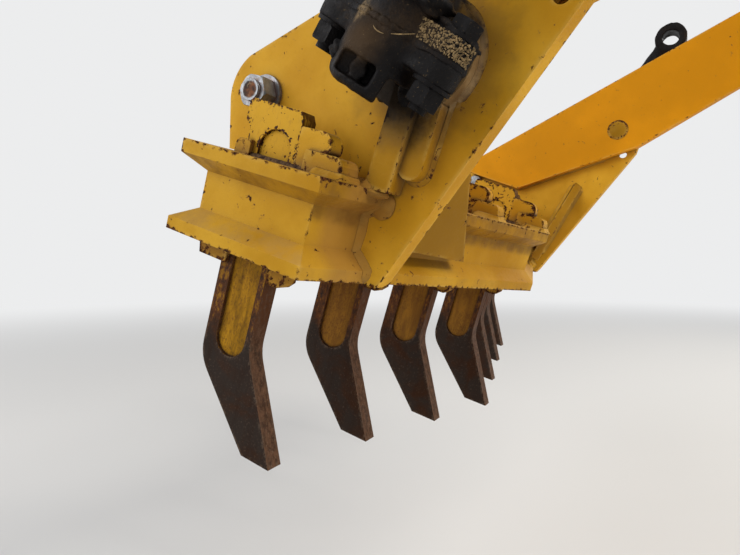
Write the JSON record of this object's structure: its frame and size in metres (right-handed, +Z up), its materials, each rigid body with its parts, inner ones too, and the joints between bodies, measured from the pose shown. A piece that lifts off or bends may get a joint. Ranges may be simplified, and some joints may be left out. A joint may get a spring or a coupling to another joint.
{
  "type": "road grader scarifier",
  "caption": "Chevron shank bar with wedged, forward-swept ripping shanks, side plates and two draft arms hinged under a bolt-on saddle, with ball-ended lift links.",
  "frame": {"origin": "centre of the four mounting holes, on the saddle's upper face", "axes": "+X forward, +Y to the machine's left, +Z up, as it hangs lifted"},
  "size_m": [1.3231, 1.193, 1.1334],
  "materials": {
    "bar_paint": "chipped and rust-stained yellow enamel on cast and plate steel",
    "frame_paint": "sound orange-yellow enamel with dust",
    "worn_steel": "dark brown, soil-polished forged steel with yellow paint left in the grooves",
    "worn_paint": "hammered, half worn yellow paint over rust",
    "zinc": "dull zinc-plated steel with light rust",
    "greased_iron": "black grease and soil caked on cast iron"
  },
  "bodies": {
    "hitch": {"hinge_saddle": "frame_paint", "pivot_pin_right": "zinc", "pivot_pin_left": "zinc"},
    "scarifier": {"shank_bar": "bar_paint", "shank_1": "worn_steel", "shank_2": "worn_steel", "shank_3": "worn_steel", "shank_4": "worn_steel", "shank_5": "worn_steel", "shank_6": "worn_steel", "shank_7": "worn_steel", "wedge_1": "worn_paint", "wedge_2": "worn_paint", "wedge_3": "worn_paint", "wedge_4": "worn_paint", "wedge_5": "worn_paint", "wedge_6": "worn_paint", "wedge_7": "worn_paint", "side_plate_right": "bar_paint", "side_plate_left": "bar_paint", "front_gusset_right": "bar_paint", "front_gusset_left": "bar_paint", "draft_arm_right": "frame_paint", "draft_arm_left": "frame_paint", "arm_bolt_right": "worn_paint", "arm_bolt_left": "worn_paint", "rear_bolt_right": "zinc", "rear_bolt_left": "zinc", "ball_bracket_right": "bar_paint", "ball_bracket_left": "bar_paint"},
    "link_right": {"lift_link_right": "greased_iron", "socket_cap_right": "greased_iron", "socket_bolts_right": "greased_iron"},
    "link_left": {"lift_link_left": "greased_iron", "socket_cap_left": "greased_iron", "socket_bolts_left": "greased_iron"}
  },
  "joints": [
    {"name": "lift_swing", "type": "hinge", "parent": "hitch", "child": "scarifier", "pos_m": [0, 0, -0.095], "axis": [0, 1, 0], "range_deg": [-22, 4]},
    {"name": "ball_right", "type": "hinge", "parent": "scarifier", "child": "link_right", "pos_m": [-0.90538, -0.5545, -0.61083], "axis": [0, 1, 0], "range_deg": [-25, 25]},
    {"name": "ball_left", "type": "hinge", "parent": "scarifier", "child": "link_left", "pos_m": [-0.90538, 0.5545, -0.61083], "axis": [0, 1, 0], "range_deg": [-25, 25]}
  ]
}
